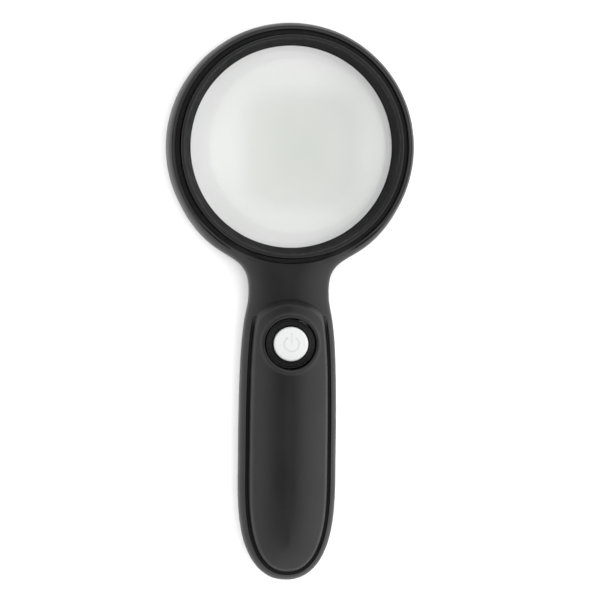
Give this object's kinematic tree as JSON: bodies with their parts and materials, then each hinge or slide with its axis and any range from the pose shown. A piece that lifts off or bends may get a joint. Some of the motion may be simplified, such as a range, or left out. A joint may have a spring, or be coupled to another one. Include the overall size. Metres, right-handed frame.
{
  "type": "low vision magnifier",
  "caption": "Hand magnifier with a round biconvex lens in a lamp ring, a tapered grip with a power button, and a sliding battery door.",
  "frame": {"origin": "middle of the flat back that it rests on, halfway along the whole length", "axes": "+Z out of the front of the lens, +Y from the handle to the lens, +X to the right seen from the front"},
  "size_m": [0.08, 0.18, 0.022],
  "materials": {
    "soft_touch_black": "fine satin moulded black, soft to the touch",
    "grip_black": "matt soft-touch black",
    "satin_black": "satin moulded black",
    "white_plastic": "satin white",
    "black_rubber": "matt black rubber",
    "clear_lens": "clear polished",
    "frosted_plastic": "frosted, lets light through",
    "white_board": "white solder mask",
    "green_board": "green solder mask",
    "lamp_white": "pale yellow lamp lens",
    "moulded_black": "moulded black",
    "ferrite": "dark grey ferrite",
    "aluminium": "bright can",
    "plated_steel": "nickel plated",
    "cell_wrap": "printed metal sleeve",
    "red_lead": "red wire insulation",
    "black_lead": "black wire insulation"
  },
  "bodies": {
    "housing": {"front_shell": "soft_touch_black", "rear_shell": "soft_touch_black", "grip_cover": "grip_black", "lens_bezel": "satin_black", "button_seal_ring": "black_rubber", "lens_gasket": "black_rubber", "lens": "clear_lens", "led_diffuser_ring": "frosted_plastic", "led_board_ring": "white_board", "main_board": "green_board", "led_1": "lamp_white", "led_2": "lamp_white", "led_3": "lamp_white", "led_4": "lamp_white", "led_5": "lamp_white", "led_6": "lamp_white", "switch_body": "moulded_black", "driver_chip": "moulded_black", "inductor": "ferrite", "capacitor": "aluminium", "button_spring": "plated_steel", "contact_bridge": "plated_steel", "contact_positive": "plated_steel", "contact_negative": "plated_steel", "negative_spring_1": "plated_steel", "negative_spring_2": "plated_steel", "board_screw_1": "plated_steel", "board_screw_2": "plated_steel", "housing_screw_1": "plated_steel", "housing_screw_2": "plated_steel", "housing_screw_3": "plated_steel", "housing_screw_4": "plated_steel", "battery_left": "cell_wrap", "battery_right": "cell_wrap", "lead_battery_positive": "red_lead", "lead_led_positive": "red_lead", "lead_battery_negative": "black_lead", "lead_led_negative": "black_lead"},
    "button": {"button_cap": "white_plastic", "switch_plunger": "white_plastic"},
    "door": {"battery_door": "soft_touch_black"}
  },
  "joints": [
    {"name": "button_press", "type": "slide", "parent": "housing", "child": "button", "axis": [0, 0, -1], "range_m": [0, 0.0012], "stiffness_N_per_m": 900, "springref_m": -0.0008, "deforming": ["button_spring"]},
    {"name": "battery_door_slide", "type": "slide", "parent": "housing", "child": "door", "axis": [0, -1, 0], "range_m": [0, 0.064]}
  ]
}
